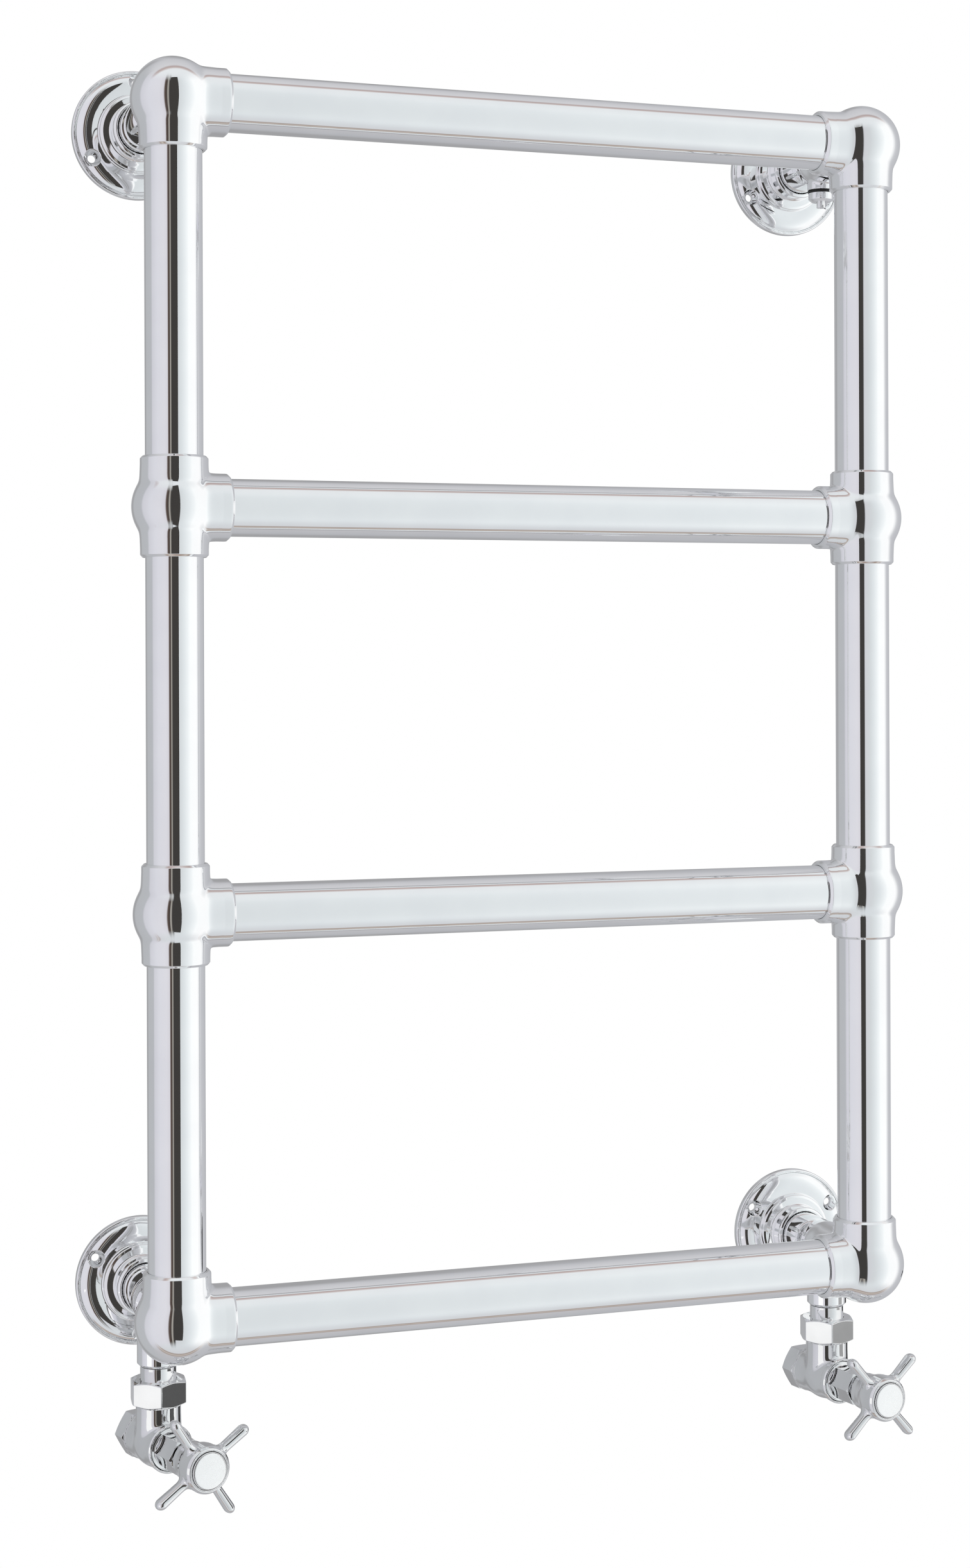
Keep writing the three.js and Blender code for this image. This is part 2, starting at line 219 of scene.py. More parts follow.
class Hexagon:
    """A softened hexagon that bounds turned work between two heights.

    Its radius at an angle is half the flats over the p-norm of the cosines towards its faces."""

    SHARPNESS = 110
    PER_FACE = 26                # columns on each face, most of them near the corners

    def __init__(self, flats, turn=0.0, low=-1e9, high=1e9):
        self.flats, self.turn, self.low, self.high = flats, turn, low, high

    def angles(self):
        """Angles round the piece: a face's share less a sine, which crowds the corners."""
        u = np.arange(self.PER_FACE) / self.PER_FACE
        share = u - 0.88 * np.sin(2 * np.pi * u) / (2 * np.pi)
        return np.radians(self.turn + 60 * (np.arange(6)[:, None] + share)).ravel()

    def radius(self, angle):
        faces = np.radians(self.turn + 30 + 60 * np.arange(6))
        towards = np.maximum(np.cos(angle[:, None] - faces), 0)
        return self.flats / 2 / (towards**self.SHARPNESS).sum(-1) ** (1 / self.SHARPNESS)


def turned_grid(place, profile, columns=AROUND, hexagon=None, closed=False):
    """A surface of revolution: each profile point (radius, height) carried round the axis.

    Inside a hexagon's span the radius is the lesser of the profile's and the hexagon's."""
    angle = hexagon.angles() if hexagon else np.linspace(0, 2 * np.pi, columns, endpoint=False)
    r = np.repeat(profile[:, :1], len(angle), 1)
    h = np.repeat(profile[:, 1:], len(angle), 1)
    if hexagon:
        bounded = (h > hexagon.low) & (h < hexagon.high)
        r = np.where(bounded, np.minimum(r, hexagon.radius(angle)[None, :]), r)
    local = np.stack([r * np.cos(angle), r * np.sin(angle), h], -1)
    return place.points(local), grid_faces(len(profile), len(angle), closed, True)


def turned_piece(node, place, corners, material, columns=AROUND, hexagon=None, closed=False):
    """A turned piece from rounded corners, standing for a CAD node."""
    grid = turned_grid(place, rounded(corners, closed), columns, hexagon, closed)
    return settle(make_mesh(node + "_finished", [grid], material), node)


# ---- castings: a ball or a crossing of branches, with soft fillets ----
class Branch:
    """One branch of a casting: its direction, its radius as a function of the distance from
    the centre, the distance where its plain side ends, and the profile that finishes it."""

    def __init__(self, direction, radius, side_end, finish):
        self.direction = np.array(direction, float)
        self.radius = radius
        self.side_end = side_end
        self.finish = finish


def casting_field(points, branches, ball_r):
    """Soft union of a ball and its branches: minus the log of the sum of exp(-BLEND * gap).

    Each gap is the distance to that branch's side, or to the ball, and is zero on it."""
    total = np.exp(-BLEND * (np.linalg.norm(points, axis=-1) - ball_r))
    for b in branches:
        along = points @ b.direction
        ahead = np.maximum(along, 0)
        off = np.linalg.norm(points - ahead[..., None] * b.direction, axis=-1)
        total = total + np.exp(-BLEND * (off - b.radius(ahead)))
    return -np.log(total) / BLEND


RAY_LONGEST = 90.0
HALVINGS = 40


def ray_reach(directions, branches, ball_r):
    """How far out along each direction the field is zero, by halving an interval again and
    again."""
    low = np.full(directions.shape[:-1], 1.0)
    high = np.full(directions.shape[:-1], RAY_LONGEST)
    for _ in range(HALVINGS):
        mid = (low + high) / 2
        inside = casting_field(directions * mid[..., None], branches, ball_r) < 0
        low, high = np.where(inside, mid, low), np.where(inside, high, mid)
    return (low + high) / 2


CUBE_SIDE = 32               # columns along each edge of the cube that a casting is laid out on


def square_loop():
    """Points round the edge of a square from -1 to 1, evenly spaced in angle on each side."""
    t = np.tan(np.linspace(-np.pi / 4, np.pi / 4, CUBE_SIDE, endpoint=False))
    one = np.ones_like(t)
    return np.concatenate([np.stack(s, 1) for s in ((one, t), (-t, one), (-one, -t), (t, -one))])


def casting_grids(place, branches, ball_r, rows=30):
    """The casting laid out on a cube's six faces: on each face the directions run from the
    face's edge in to a branch's plain side, or to the middle where there's no branch. Rays
    find the surface, and a branch goes on with its finishing profile, turned."""
    grids = []
    loop = square_loop()
    for axis in (RIGHT, LEFT, TO_WALL, TO_ROOM, UP, DOWN):
        first = np.roll(np.abs(axis), 1)
        second = np.cross(axis, first)
        edge = unit(axis + loop[:, :1] * first + loop[:, 1:] * second)
        around = unit(loop[:, :1] * first + loop[:, 1:] * second)
        branch = next((b for b in branches if b.direction @ axis > 0.9), None)
        lean = 0.0
        if branch:
            lean = math.atan2(branch.radius(np.array(branch.side_end)), branch.side_end)
        start = np.arccos(np.clip(edge @ axis, -1, 1))
        t = np.linspace(0, 1, rows)[:, None]
        angle = start * (1 - t) + lean * t
        directions = np.cos(angle)[..., None] * axis + np.sin(angle)[..., None] * around
        reach = ray_reach(directions, branches, ball_r)
        points = directions * reach[..., None]
        if branch:
            f = branch.finish
            ring = f[:, 1][:, None, None] * axis + f[:, 0][:, None, None] * around
            points = np.concatenate([points, ring])
        grids.append((place.points(points), grid_faces(len(points), len(loop), False, True)))
    return grids


def collar(direction, end):
    """A tube's collar: drafted side, end bevelled to the tube, and the blind socket in it."""
    side_end = end - COLLAR_LIP
    bore = TUBE_R + SOCKET_GAP
    profile = rounded([
        (COLLAR_R, side_end), (COLLAR_R - 0.05, end - 1.7, 0.5), (COLLAR_R - 1.6, end, 0.6),
        (bore, end, 0.15), (bore, SOCKET_STOP, 0.1), (0, SOCKET_STOP),
    ])[1:]

    def radius(h):
        return COLLAR_R + COLLAR_DRAFT * np.clip((BALL_R - h) / DRAFT_LONG, 0, 1)

    return Branch(direction, radius, side_end, profile)


def ball_fitting(node, place, directions):
    """A ball with a collar towards each of its tubes."""
    branches = [collar(d, COLLAR_END["upright" if abs(d[2]) > 0.5 else "bar"])
                for d in directions]
    grids = casting_grids(place, branches, BALL_R)
    return settle(make_mesh(node + "_finished", grids, CAST_CHROME), node)


# ---- finishes ----
CLOUD_CELLS, POLISH_CELLS, WAVE_CELLS = 38, 420, 30      # noise cells per metre in chrome
BLOTCH_CELLS, MARK_CELLS = 160, 1500                     # in turned metal
BLOOM_CELLS, GRAIN_CELLS = 260, 2400                     # in rubber


def shader(name, colour, roughness, metallic):
    """A material and its surface shader, with the plain values set on the shader's sockets."""
    made = bpy.data.materials.new(name)
    made.use_nodes = True
    surface = made.node_tree.nodes["Principled BSDF"]
    surface.inputs["Base Color"].default_value = (*colour, 1)
    surface.inputs["Metallic"].default_value = metallic
    surface.inputs["Roughness"].default_value = roughness
    return made, surface


def noise(tree, scale, detail=3.0, stretch=(1, 1, 1)):
    """Fractal noise on Object coordinates, its cells per metre given by the scale."""
    place = tree.nodes.new("ShaderNodeTexCoord")
    mapping = tree.nodes.new("ShaderNodeMapping")
    mapping.inputs["Scale"].default_value = stretch
    cells = tree.nodes.new("ShaderNodeTexNoise")
    cells.inputs["Scale"].default_value = scale
    cells.inputs["Detail"].default_value = detail
    tree.links.new(place.outputs["Object"], mapping.inputs["Vector"])
    tree.links.new(mapping.outputs["Vector"], cells.inputs["Vector"])
    return cells.outputs["Fac"]


def between(tree, factor, low, high):
    """Runs a factor from 0..1 to low..high."""
    spread = tree.nodes.new("ShaderNodeMapRange")
    spread.inputs["From Min"].default_value = 0.3
    spread.inputs["From Max"].default_value = 0.7
    spread.inputs["To Min"].default_value = low
    spread.inputs["To Max"].default_value = high
    tree.links.new(factor, spread.inputs["Value"])
    return spread.outputs["Result"]


def tinted(tree, factor, dark, light):
    """A colour ramp from dark to light over a factor."""
    ramp = tree.nodes.new("ShaderNodeValToRGB")
    ramp.color_ramp.elements[0].position, ramp.color_ramp.elements[1].position = 0.35, 0.65
    ramp.color_ramp.elements[0].color, ramp.color_ramp.elements[1].color = (*dark, 1), (*light, 1)
    tree.links.new(factor, ramp.inputs["Fac"])
    return ramp.outputs["Color"]


def rippled(tree, surface, factor, height):
    """Gives a surface the bumps of a factor, in metres."""
    bump = tree.nodes.new("ShaderNodeBump")
    bump.inputs["Strength"].default_value = 1.0
    bump.inputs["Distance"].default_value = height
    tree.links.new(factor, bump.inputs["Height"])
    tree.links.new(bump.outputs["Normal"], surface.inputs["Normal"])


def chrome(name, dark, light, smooth, cloudy, wave):
    """Chrome plate: a faint cloudiness in colour and polish, and the slight waviness of
    buffed metal, a few micrometres high over centimetres."""
    made, surface = shader(name, light, smooth, 1.0)
    tree = made.node_tree
    clouds = noise(tree, CLOUD_CELLS, 4)
    tree.links.new(tinted(tree, clouds, dark, light), surface.inputs["Base Color"])
    tree.links.new(between(tree, noise(tree, POLISH_CELLS, 2), smooth, cloudy),
                   surface.inputs["Roughness"])
    if wave:
        rippled(tree, surface, noise(tree, WAVE_CELLS, 1), wave)
    return made


def turned_metal(name, dark, light, smooth, rough, height):
    """Bare turned metal: blotched colour, and tool marks as fine noise."""
    made, surface = shader(name, light, smooth, 1.0)
    tree = made.node_tree
    blotches = noise(tree, BLOTCH_CELLS, 5)
    tree.links.new(tinted(tree, blotches, dark, light), surface.inputs["Base Color"])
    marks = noise(tree, MARK_CELLS, 2)
    tree.links.new(between(tree, marks, smooth, rough), surface.inputs["Roughness"])
    rippled(tree, surface, marks, height)
    return made


def seal_rubber():
    """Black moulded rubber with a faint bloom and a fine grain."""
    made, surface = shader("seal_rubber", (0.015, 0.015, 0.016), 0.45, 0.0)
    tree = made.node_tree
    bloom = noise(tree, BLOOM_CELLS, 4)
    tree.links.new(tinted(tree, bloom, (0.012, 0.012, 0.012), (0.03, 0.03, 0.031)),
                   surface.inputs["Base Color"])
    tree.links.new(between(tree, bloom, 0.35, 0.6), surface.inputs["Roughness"])
    rippled(tree, surface, noise(tree, GRAIN_CELLS, 2), 0.00002)
    return made


TUBE_CHROME = chrome("tube_chrome", (0.93, 0.935, 0.945), (0.955, 0.96, 0.965), 0.015, 0.035, 0)
CAST_CHROME = chrome("cast_chrome", (0.92, 0.925, 0.935), (0.955, 0.96, 0.965), 0.02, 0.05,
                     0.000004)
VALVE_CHROME = chrome("valve_chrome", (0.8, 0.805, 0.81), (0.87, 0.875, 0.88), 0.03, 0.07,
                      0.000004)
CAP_CHROME = chrome("cap_chrome", (0.95, 0.95, 0.95), (0.98, 0.98, 0.98), 0.3, 0.36, 0)
TURNED_BRASS = turned_metal("turned_brass", (0.56, 0.41, 0.16), (0.76, 0.6, 0.28), 0.22, 0.36,
                            0.000008)
TURNED_STEEL = turned_metal("turned_steel", (0.42, 0.43, 0.44), (0.6, 0.61, 0.63), 0.2, 0.36,
                            0.000008)
SEAL_RUBBER = seal_rubber()


# ---- the frame of tubes and balls ----
for side in SIDES:
    inward = RIGHT if side == "left" else LEFT
    for row, level in enumerate(LEVELS):
        below, above = row > 0, row < len(LEVELS) - 1
        node = f"{side}_{level}_{'tee' if below and above else 'corner'}"
        towards = [inward] + [UP] * above + [DOWN] * below
        centre = (AXIS_X[side], AXIS_Y, AXIS_Z[level])
        ball_fitting(node, Place(centre, UP, TO_WALL), towards)


def tube_piece(node, place, ends):
    """A straight tube: a ring's section, its corners barely broken, turned about its axis."""
    bore, (start, end) = TUBE_R - TUBE_WALL, ends
    return turned_piece(node, place, [
        (bore, start, 0.1), (TUBE_R, start, 0.3), (TUBE_R, end, 0.3), (bore, end, 0.1),
    ], TUBE_CHROME, closed=True)


for side in SIDES:
    for stretch in STRETCHES:
        node = f"{side}_{stretch}_upright"
        tube_piece(node, Place((AXIS_X[side], AXIS_Y, 0), UP, TO_WALL), span(node, 2))
for level in LEVELS:
    node = f"{level}_bar"
    tube_piece(node, Place((0, AXIS_Y, AXIS_Z[level]), RIGHT, UP), span(node, 0))


# ---- arms to the wall ----
ARM_CLEAR = 26               # where an arm's side is plain again, either way from a branch
NO_BALL = 1.0                # a ball too small to show where an arm and its branch cross


def arm_branch(direction, end):
    """The arm's own side, one way from the branch's centre, closed with a flat end."""
    profile = rounded([(ARM_R, ARM_CLEAR), (ARM_R, end, 0.4), (0, end)])[1:]
    return Branch(direction, lambda h: ARM_R + 0 * h, ARM_CLEAR, profile)


def branched_arm(side, level, behind, branch):
    """An arm with something hanging from it: a casting centred where the axes cross."""
    node = f"{side}_{level}_arm"
    start, end = span(node, 1)
    centre = AXIS_Y + behind
    branches = [arm_branch(TO_ROOM, centre - start), arm_branch(TO_WALL, end - centre), branch]
    place = Place((AXIS_X[side], centre, AXIS_Z[level]), UP, TO_WALL)
    grids = casting_grids(place, branches, NO_BALL)
    settle(make_mesh(node + "_finished", grids, CAST_CHROME), node)


def valve_socket():
    """The lower arm's socket for the valve's tail, with a bevelled mouth."""
    profile = rounded([
        (14.3, 40.5), (14.3, 41.5, 0.5), (12.4, 43.3, 0.5), (10.8, 43.3, 0.3), (10.8, 24), (0, 24),
    ])[1:]
    return Branch(DOWN, lambda h: 14.3 + 0 * h, 40.5, profile)


def vent_boss():
    """The short boss that the air vent screws into."""
    profile = rounded([(9.9, 20.2), (9.9, 21, 0.4), (6.4, 21, 0.2), (6.4, 12), (0, 12)])[1:]
    return Branch(DOWN, lambda h: 9.9 + 0 * h, 20.2, profile)


VALVE_BEHIND, VENT_BEHIND = 61, 64
for side in SIDES:
    branched_arm(side, "bottom", VALVE_BEHIND, valve_socket())
branched_arm("right", "top", VENT_BEHIND, vent_boss())
start, end = span("left_top_arm", 1)
turned_piece("left_top_arm", Place((AXIS_X["left"], 0, AXIS_Z["top"]), TO_WALL, UP), [
    (0, start), (ARM_R, start, 0.4), (ARM_R, end, 0.4), (0, end),
], TUBE_CHROME)


# ---- wall flanges ----
DOME_FROM, DOME_TO = 27.6, 41.4      # radii of the dome that the screw holes are in
DOME_EDGE, DOME_RISE = 5.0, 3.6      # its height at the rim, and what it gains by the hub
DOME_POWER = 3.6                     # how suddenly it bends over
SCREW_AT, SCREW_R, SINK_R = 36, 2.85, 5.9
SECTORS = 3
SECTOR_COLUMNS = 56                  # columns along each arc of a sector
SIDE_COLUMNS = 20                    # and along each of its straight sides
SHEET_ROWS, SHEET_CROWDING = 16, 1.5     # rows from a hole outwards, closest at the hole


def dome_height(r):
    """The dome's height: steep at the rim and nearly flat at the hub, as one less a power
    of the share of its width that is left."""
    left = 1 - np.clip((DOME_TO - r) / (DOME_TO - DOME_FROM), 0, 1)
    return DOME_EDGE + DOME_RISE * (1 - left**DOME_POWER)


def sector_grid(place, turn, height, hole):
    """One sector with a hole, in polar measures: rows run from the hole's edge, a circle
    about the screw, to the sector's outline, and each point is lifted to the height at
    its radius. The hole's wall goes on from the circle as (radius, height) rows."""
    half = math.pi / SECTORS
    across = np.linspace(-half, half, SECTOR_COLUMNS + 1)[:-1]
    out = np.linspace(DOME_FROM, DOME_TO, SIDE_COLUMNS + 1)[:-1]
    outline = np.concatenate([
        np.stack([np.full_like(across, DOME_FROM), -across], 1),
        np.stack([out, np.full_like(out, -half)], 1),
        np.stack([np.full_like(across, DOME_TO), across], 1),
        np.stack([DOME_FROM + DOME_TO - out, np.full_like(out, half)], 1),
    ])
    bearing = np.arctan2(outline[:, 1] * SCREW_AT, outline[:, 0] - SCREW_AT)
    flat = np.stack([SCREW_AT + hole[0][0] * np.cos(bearing), hole[0][0] * np.sin(bearing)], 1)
    edge = np.stack([np.hypot(flat[:, 0], flat[:, 1]), np.arctan2(flat[:, 1], flat[:, 0])], 1)
    t = (np.linspace(0, 1, SHEET_ROWS) ** SHEET_CROWDING)[:, None, None]
    polar = edge * (1 - t) + outline * t
    r, a = polar[..., 0], polar[..., 1] + turn
    sheet = np.stack([r * np.cos(a), r * np.sin(a), height(r)], -1)
    wall = []
    for radius, level in hole[::-1]:
        x = SCREW_AT + radius * np.cos(bearing)
        y = radius * np.sin(bearing)
        up = height(np.hypot(x, y)) if level is None else np.full_like(x, level)
        wall.append(np.stack([x * math.cos(turn) - y * math.sin(turn),
                              x * math.sin(turn) + y * math.cos(turn), up], -1))
    local = np.concatenate([np.stack(wall), sheet])
    return place.points(local), grid_faces(len(local), len(outline), False, True)


def wall_flange(node, place, turn):
    """A flange: rolled rim, groove, crowned dome with three countersunk holes, stepped hub."""
    rings = SECTORS * SECTOR_COLUMNS
    hub = rounded([
        (DOME_FROM, dome_height(DOME_FROM)), (27.2, 9.6, 0.5), (26.9, 12.6, 1.2),
        (24.9, 13.6, 1.0), (20.6, 14.2, 1.4), (19.4, 16.5, 2.0), (18.9, 22.6, 2.0),
        (20.2, 24.2, 1.2), (20.2, 26.4, 1.3), (18.2, 27.6, 0.8), (17.35, 27.0, 0.2), (17.35, 6),
        (0, 6),
    ])
    rim = rounded([
        (DOME_TO, dome_height(DOME_TO)), (42.0, 4.5, 0.4), (42.8, 5.2, 0.8), (44.9, 4.6, 1.5),
        (44.9, 0, 0.3), (DOME_TO, 0),
    ])
    columns = np.linspace(0, 2 * np.pi, rings, endpoint=False) + turn + math.pi / SECTORS

    def ring_grid(profile):
        local = np.stack([profile[:, :1] * np.cos(columns), profile[:, :1] * np.sin(columns),
                          np.repeat(profile[:, 1:], rings, 1)], -1)
        return place.points(local), grid_faces(len(profile), rings, False, True)

    back = np.array([(DOME_FROM, 0), (0, 0)], float)
    grids = [ring_grid(hub), ring_grid(rim), ring_grid(back)]
    for sector in range(SECTORS):
        at = turn + sector * 2 * math.pi / SECTORS
        grids.append(sector_grid(place, at, dome_height, [
            (SINK_R, None), (SINK_R - 0.15, 6.0), (SCREW_R + 0.1, 3.3), (SCREW_R, 3.1),
            (SCREW_R, 0)]))
        grids.append(sector_grid(place, at, lambda r: 0 * r, [(SCREW_R, None)]))
    return settle(make_mesh(node + "_finished", grids, CAST_CHROME), node)


for side in SIDES:
    for level, first_hole in (("top", 90), ("bottom", 30)):
        wall_flange(f"{side}_{level}_flange", Place((AXIS_X[side], 0, AXIS_Z[level]), TO_ROOM, UP),
                    math.radians(first_hole))


# ---- air vent ----
vent = Place((AXIS_X["right"], AXIS_Y + VENT_BEHIND, AXIS_Z["top"]), DOWN, TO_WALL)
turned_piece("vent_seal", vent, [
    (6.6, 21.2, 0.3), (9.9, 21.2, 0.7), (9.9, 22.8, 0.7), (6.6, 22.8, 0.3),
], SEAL_RUBBER, AROUND_SMALL, closed=True)
turned_piece("vent_plug", vent, [
    (0, 12), (6, 12), (6, 23, 0.2), (9.2, 23, 0.4), (9.2, 28, 0.6), (7, 29.6, 0.5),
    (3.5, 29.6, 0.3), (3.5, 17), (0, 17),
], CAST_CHROME, AROUND_SMALL)


def slotted_screw(node, place, r, low, high, slot_half, slot_deep):
    """A screw with a slot: square sections carried across it, each as wide as the circle's
    chord there and as high as the head, or as the slot's floor inside the slot."""
    x = r * np.sin(np.linspace(-np.pi / 2, np.pi / 2, 41))
    x = np.sort(np.concatenate([x[np.abs(x) > slot_half], [-slot_half, slot_half] * 2]))
    inside = np.zeros(len(x), bool)
    centre = np.flatnonzero(np.abs(np.abs(x) - slot_half) < 1e-9)
    inside[centre[1:3]] = True
    chord = np.sqrt(np.maximum(r**2 - x**2, 0))
    top = np.where(inside, high - slot_deep, high)
    corner = np.minimum(0.35, chord)
    low = np.full_like(x, low)
    bulge = 0.3 * corner
    section = [(-chord, low), (chord, low), (chord, top - corner), (chord - bulge, top - bulge),
               (chord - corner, top), (corner - chord, top), (bulge - chord, top - bulge),
               (-chord, top - corner)]
    local = np.stack([np.stack([x, y, h], -1) for y, h in section], 1)
    grid = place.points(local), grid_faces(len(x), len(section), False, True)
    piece = settle(make_mesh(node + "_finished", [grid], CAP_CHROME), node)
    piece.data.shade_flat()
    return piece


slotted_screw("vent_screw", vent, 3.2, 17.2, 33.9, 0.55, 1.9)


# ---- crosshead angle valves ----
VALVE_TURN = {"left": 14, "right": 9}
HANDLE_TURN = {"left": 33, "right": 42}
NUT_TURN = {"left": 24, "right": 15}
VALVE_DROP = 96
BARREL_R, NECK_R, CROSSING_R = 15.6, 15.2, 14.5
FRONT_PLAIN, REAR_PLAIN, NECK_PLAIN = 13.6, 18.0, 26.3   # where the body's plain sides end
UNION_FLATS, COMPRESSION_FLATS, BONNET_FLATS, GLAND_FLATS = 35.6, 29, 22, 17
CHAMFER_SHARE = 0.55         # a chamfer's depth over what the corners stand past the flats
CORNER_SLACK = 0.05          # keeps the profile just clear of the hexagon's corners
END_INSET = 0.3              # a chamfer's small end, inside the flats
FLAT_GUARD = 0.25            # from a chamfer to the rows that keep the flats flat


def lead(flats):
    """A hexagon's radius at its corners, and how deep their chamfer goes."""
    corner = flats / 2 / math.cos(math.pi / 6)
    return corner + CORNER_SLACK, (corner - flats / 2) * CHAMFER_SHARE


def chamfered(flats, low, high):
    """A hexagon's outer side from low to high: each chamfer in short steps, so that its
    curved edge on every flat is drawn, and a few rows close to it that keep the flats flat."""
    corner, deep = lead(flats)
    small = flats / 2 - END_INSET
    side = [(small + (corner - small) * t, low + deep * t) for t in np.linspace(0, 1, 9)[1:]]
    far = [(r, low + high - h) for r, h in side[::-1]]
    return [*side, (corner, low + deep + FLAT_GUARD), (corner, (low + high) / 2),
            (corner, high - deep - FLAT_GUARD), *far]


def nut_profile(bore, flats, low, high, inside):
    """A nut's section: two chamfered ends, and the inside given as (radius, height)."""
    small = flats / 2 - END_INSET
    return [(bore, low, 0.25), (small, low, 0.15), *chamfered(flats, low, high),
            (small, high, 0.15), *inside]


def valve_body(node, place):
    """The body: one barrel through the crossing, and a neck that rises out of it in a broad
    fillet to the union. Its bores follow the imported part's."""
    front = rounded([
        (BARREL_R, FRONT_PLAIN), (BARREL_R, 14.7, 0.4), (16.25, 15.5, 0.4), (16.4, 18.6, 0.6),
        (15.7, 19.6, 0.3), (14.85, 19.6, 0.2), (14.85, 17), (12.3, 17), (12.3, 8), (10, 8),
        (10, -9), (5.5, -9), (5.5, -15), (7.75, -15), (7.75, -29.8, 0.1), (9, -29.8),
    ])[1:]
    rear = rounded([
        (BARREL_R, REAR_PLAIN), (BARREL_R, 19.2, 0.4), (16.1, 19.8, 0.4), (16.1, 21.2, 0.4),
        (15.2, 22, 0.3), (12.4, 22, 0.3), (12.4, 29.8, 0.4), (9, 29.8),
    ])[1:]
    neck = rounded([
        (NECK_R, NECK_PLAIN), (NECK_R, 27.1, 0.5), (14, 27.1), (14, 33.5), (8, 33.5), (8, 13),
        (0, 13),
    ])[1:]
    # The barrel is laid out along -Y and +Y of the casting, and turned by the place.
    branches = [
        Branch(TO_ROOM, lambda h: BARREL_R + 0 * h, FRONT_PLAIN, front),
        Branch(TO_WALL, lambda h: BARREL_R + 0 * h, REAR_PLAIN, rear),
        Branch(UP, lambda h: NECK_R + 0.4 * np.clip((20 - h) / 20, 0, 1), NECK_PLAIN, neck),
    ]
    grids = casting_grids(place, branches, CROSSING_R)
    return settle(make_mesh(node + "_finished", grids, VALVE_CHROME), node)


SPOKE_ROOT, SPOKE_TIP, SPOKE_AT = 13.6, 39.6, 65.5   # radii of an arm, its height on the hub
SPOKE_HALF, SPOKE_SWELL = 3.15, 0.45     # half its width near the hub, and what it gains
SPOKE_END = 4.6              # length of its rounded end
SPOKE_DEPTH = 1.4            # its depth over its width
FLARE, FLARE_FROM, FLARE_FADE = 2.6, 15.0, 1.3       # its extra size at the hub, fading


def flattened_arm(place, angle):
    """One handle arm: ovals along the spoke, narrower than deep, flared at the hub by an
    exponential, swelling slowly outwards and closed by the quarter of an ellipse."""
    plain_end = SPOKE_TIP - SPOKE_END
    plain = np.concatenate([np.linspace(SPOKE_ROOT, 22, 14), np.linspace(23, plain_end, 12)])
    end = np.linspace(0, np.pi / 2, 14)
    along = np.concatenate([plain, plain_end + SPOKE_END * np.sin(end)])
    half = SPOKE_HALF + SPOKE_SWELL * np.clip((along - 16) / 20, 0, 1)
    half = half * np.concatenate([np.ones(len(plain)), np.cos(end)])
    flare = FLARE * np.exp(-np.maximum(along - FLARE_FROM, 0) / FLARE_FADE)
    around = np.linspace(0, 2 * np.pi, 48, endpoint=False)
    wide = (half + flare)[:, None] * np.cos(around)
    deep = (half * SPOKE_DEPTH + flare)[:, None] * np.sin(around)
    x = along[:, None] * math.cos(angle) - wide * math.sin(angle)
    y = along[:, None] * math.sin(angle) + wide * math.cos(angle)
    local = np.stack([x, y, SPOKE_AT + deep], -1)
    close = local[:1].mean(1, keepdims=True).repeat(len(around), 1)
    local = np.concatenate([close, local])
    return place.points(local), grid_faces(len(local), len(around), False, True)


def crosshead(node, place, turn):
    """The handle: a flared skirt and hub in one turned section, with four arms."""
    hub = rounded([
        (5.45, 55), (11.3, 55), (11.3, 47.5, 0.3), (12.9, 47.5, 0.6), (13.1, 52, 4), (14, 57.5, 4),
        (15.3, 61.5, 2), (15.7, 64, 2), (15.7, 74.0, 1.7), (14.2, 76.1, 1.0),
        (12.75, 76.1, 0.35), (12.6, 75), (12.6, 70.7), (5.45, 70.7),
    ], closed=True)
    grids = [turned_grid(place, hub, closed=True)]
    for quarter in range(4):
        angle = math.radians(180 + turn + 90 * quarter)
        grids.append(flattened_arm(place, angle))
    return settle(make_mesh(node + "_finished", grids, VALVE_CHROME), node)


